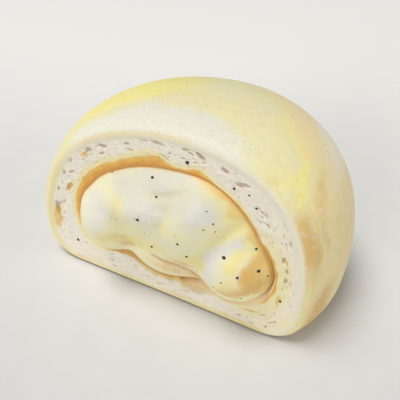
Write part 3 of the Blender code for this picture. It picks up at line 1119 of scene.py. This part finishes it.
def bread_material():
    n = Nodes("bread")
    place = n.place()
    grain = n.make("ShaderNodeAttribute", attribute_name="grain").outputs["Vector"]
    layers = n.noise(grain, 1.0, 3.0, 0.6)
    skin, lip, wall = n.share("skin"), n.share("lip"), n.share("wall")
    broken = breaker(n, n.noise(place, 330.0, 4.0, 0.65), 0.5, 0.08)
    crumb = crumb_colour(n, place, layers, lip, broken)
    base = n.mix(skin, crumb, skin_colour(n, place, broken))
    on_skin = n.spread(skin, 0.0, 1.0, 0.25, 1.0)
    base = n.mix(n.maths("MULTIPLY", broken("foot", 0.75), on_skin), base, FOOT)
    # Painted contact shadow along the bottom edge
    base = n.mix(broken("contact_shade", 0.9, 0.3), base, CONTACT_SHADE)
    wet = n.noise(place, 260.0, 3.0, 0.6)
    base = n.mix(wall, base, n.mix(n.spread(wet, 0.35, 0.7), WALL, WALL_DEEP))
    # Painted shadow line on the pocket wall beside the filling
    beside = n.maths("MULTIPLY", broken("seam", 0.8, 0.4), wall)
    base = n.mix(beside, base, SEAM_SHADE)
    fine = n.noise(place, 1500.0, 3.0, 0.6)
    open_share = n.maths("SUBTRACT", 1.0, lip)
    weight = n.maths("ADD", n.maths("MULTIPLY", open_share, 0.9), 0.1)
    height = n.maths("MULTIPLY", n.maths("ADD", fine, layers), weight)
    normal = n.bump(height, 0.0004, 0.3)
    wrinkle = n.noise(n.scaled(place, (130.0, 130.0, 260.0)), 1.0, 5.0, 0.6)
    normal = n.bump(wrinkle, 0.0008, 0.22, normal)
    roughness = n.maths("ADD", n.maths("MULTIPLY", skin, -0.2), 0.78)
    roughness = n.maths("SUBTRACT", roughness, n.maths("MULTIPLY", wall, 0.3))
    n.put(Base_Color=base, Roughness=roughness, Normal=normal)
    n.put(Subsurface_Weight=0.2, Subsurface_Radius=(1.0, 0.7, 0.4), Subsurface_Scale=0.001)
    n.put(IOR=1.42, Specular_IOR_Level=0.3)
    return n.material


def custard_material():
    n = Nodes("custard")
    place = n.place()
    cloud = n.noise(place, 130.0, 4.0, 0.6, 0.3)
    broken = breaker(n, n.noise(place, 420.0, 4.0, 0.65), 0.45, 0.06)
    base = n.mix(n.spread(cloud, 0.36, 0.66), CUSTARD, CUSTARD_YELLOW)
    # Painted light on the filling's lower front
    base = n.mix(broken("low", 0.7), base, CUSTARD_LOW_LIGHT)
    base = n.mix(broken("lemon", 0.9), base, CUSTARD_LEMON)
    # Painted shade, in lemon, along the dips between the filling's swellings
    base = n.mix(n.maths("MULTIPLY", n.share("dip"), 0.5), base, CUSTARD_LEMON)
    # Painted highlights on the filling's swellings
    base = n.mix(broken("painted_highlight", 0.95), base, CUSTARD_HIGHLIGHT)
    # Painted shade on the filling's upper front
    base = n.mix(broken("high", 0.6), base, CUSTARD_TOP_SHADE)
    base = n.mix(broken("glow", 0.6), base, CUSTARD_LEMON)
    base = n.mix(broken("edge", 0.6), base, CUSTARD_EDGE)
    # Painted shade in ochre on the filling's lower and right parts
    base = n.mix(broken("ochre_shade", 0.95), base, CUSTARD_OCHRE_SHADE)
    # Painted shade along the filling's lower edge
    base = n.mix(broken("underside_shade", 0.7), base, UNDERSIDE_SHADE)
    # Painted shade in the fold's crease
    base = n.mix(n.maths("MULTIPLY", n.share("fold"), 0.7), base, FOLD_SHADE)
    # Painted amber shade where the filling runs back into the pocket
    base = n.mix(n.share("recess_shade"), base, RECESS_SHADE)
    ripple = n.noise(place, 260.0, 3.0, 0.5, 0.5)
    tiny = n.noise(place, 1300.0, 2.0, 0.5)
    normal = n.bump(ripple, 0.0006, 0.3)
    normal = n.bump(tiny, 0.0002, 0.2, normal)
    roughness = n.spread(ripple, 0.3, 0.7, 0.38, 0.5)
    n.put(Base_Color=base, Roughness=roughness, Normal=normal)
    n.put(Subsurface_Weight=0.3, Subsurface_Radius=(1.0, 0.75, 0.4), Subsurface_Scale=0.0015)
    n.put(IOR=1.42, Specular_IOR_Level=0.5)
    return n.material


def speck_material():
    n = Nodes("vanilla")
    tone = n.noise(n.place(), 2500.0, 2.0, 0.5)
    base = n.mix(n.spread(tone, 0.4, 0.7), VANILLA_DARK, VANILLA_BROWN)
    n.put(Base_Color=base, Roughness=0.5)
    n.put(Normal=n.bump(tone, 0.0001, 0.5))
    return n.material


def floor_material():
    n = Nodes("floor")
    fibre = n.noise(n.place(), 60.0, 5.0, 0.55)
    place = n.split(n.place())
    # Painted shading on the floor: darker towards the front, lighter far off
    away = n.maths("SUBTRACT", place["Y"], n.maths("MULTIPLY", place["X"], 0.2))
    away = n.maths("ADD", n.maths("MULTIPLY", n.maths("SUBTRACT", fibre, 0.5), 0.06), away)
    base = n.mix(n.spread(away, -0.14, 0.16), FLOOR_NEAR_SHADE, FLOOR_FAR_LIGHT)
    n.put(Base_Color=base, Roughness=0.6, Specular_IOR_Level=0.4)
    return n.material


# Pieces

rings, shares = bun_surface()
bread = closed_mesh("bread", rings, shares)
bread.data.materials.append(bread_material())
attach(bread, "root")
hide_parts("bun")

rings, shares = custard_surface()
filling = closed_mesh("filling", rings, shares)
filling.data.materials.append(custard_material())
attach(filling, "root")
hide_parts("custard")


def tree_of(piece):
    mesh = piece.data
    return BVHTree.FromPolygons(
        [vertex.co for vertex in mesh.vertices],
        [tuple(face.vertices) for face in mesh.polygons],
    )


chance = random.Random(SPECK_SEED)
filling_tree, bread_tree = tree_of(filling), tree_of(bread)
places = []
for tree, specks in ((filling_tree, CUSTARD_SPECKS), (bread_tree, CRUMB_SPECKS)):
    for x, z, radius in specks:
        place, normal = front_of(tree, x, z)
        places.append((place, normal, radius * MM))
while len(places) < len(CUSTARD_SPECKS) + len(CRUMB_SPECKS) + STRAY_SPECKS:
    x, z = chance.uniform(*STRAY_ACROSS), chance.uniform(*STRAY_UP)
    if lump_field(np.array((x * MM, 0.0, z * MM))) > -STRAY_INSET:
        continue
    place, normal = front_of(filling_tree, x, z)
    places.append((place, normal, chance.uniform(*STRAY_RADII) * MM))
specks = speck_mesh("vanilla_specks", places, chance)
specks.data.materials.append(speck_material())
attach(specks, "root")

# Floor, light and camera

FLOOR_SIZE = 3.0
FLOOR_DROP = 0.1 * MM
floor_mesh = bpy.data.meshes.new("floor")
half = FLOOR_SIZE / 2
floor_mesh.from_pydata(
    [(-half, -half, 0), (half, -half, 0), (half, half, 0), (-half, half, 0)],
    [],
    [(0, 1, 2, 3)],
)
floor = placed("floor", floor_mesh)
floor.location.z = -FLOOR_DROP
floor_mesh.materials.append(floor_material())

AZIMUTH = math.radians(27.0166)
ELEVATION = math.radians(39.4953)
TARGET = Vector((7.08 * MM, 12.0 * MM, 30.98 * MM)) + Vector(SHIFT)
CAMERA_DISTANCE = 133.3 * MM
LENS = 43.3
SENSOR = 36.0

toward_camera = Vector(
    (
        math.sin(AZIMUTH) * math.cos(ELEVATION),
        -math.cos(AZIMUTH) * math.cos(ELEVATION),
        math.sin(ELEVATION),
    )
)
camera_data = bpy.data.cameras.new("camera")
camera_data.lens = LENS
camera_data.sensor_width = SENSOR
camera_data.clip_start = 0.01
camera = placed("camera", camera_data)
camera.location = TARGET + toward_camera * CAMERA_DISTANCE
camera.rotation_euler = toward_camera.to_track_quat("Z", "Y").to_euler()
bpy.context.scene.camera = camera


# Lights, as (name, place, size, power), in metres and watts
LIGHTS = (
    ("key", (-1.25, -0.95, 5.79), 2.8, 232.0),
    ("front", (-1.1, -4.5, 1.7), 2.5, 92.0),
    ("card", (4.3, -0.1, 0.55), 1.6, 58.0),
)
LIGHT_COLOUR = (1.0, 0.985, 0.95)
LIT_POINT = Vector((0, 0, 0.03))

for name, place, size, power in LIGHTS:
    lamp = bpy.data.lights.new(name, "AREA")
    lamp.shape = "DISK"
    lamp.size = size
    lamp.energy = power
    lamp.color = LIGHT_COLOUR
    light = placed(name, lamp)
    light.location = place
    aim = Vector(place) - LIT_POINT
    light.rotation_euler = aim.to_track_quat("Z", "Y").to_euler()

# The sky is dimmer on the right, behind the shadow
SKY_COLOUR = (0.96, 0.97, 1.0, 1.0)
SKY_FADE = {"From Min": -0.1, "From Max": 0.6, "To Min": 0.33, "To Max": 0.17}

world = bpy.data.worlds.new("studio")
world.use_nodes = True
sky_nodes = world.node_tree.nodes
background = sky_nodes["Background"]
background.inputs["Color"].default_value = SKY_COLOUR
direction = sky_nodes.new("ShaderNodeTexCoord").outputs["Generated"]
split = sky_nodes.new("ShaderNodeSeparateXYZ")
fade = sky_nodes.new("ShaderNodeMapRange")
for name, value in SKY_FADE.items():
    fade.inputs[name].default_value = value
world.node_tree.links.new(direction, split.inputs["Vector"])
world.node_tree.links.new(split.outputs["X"], fade.inputs["Value"])
world.node_tree.links.new(fade.outputs["Result"], background.inputs["Strength"])
bpy.context.scene.world = world
bpy.context.scene.view_settings.view_transform = "Standard"
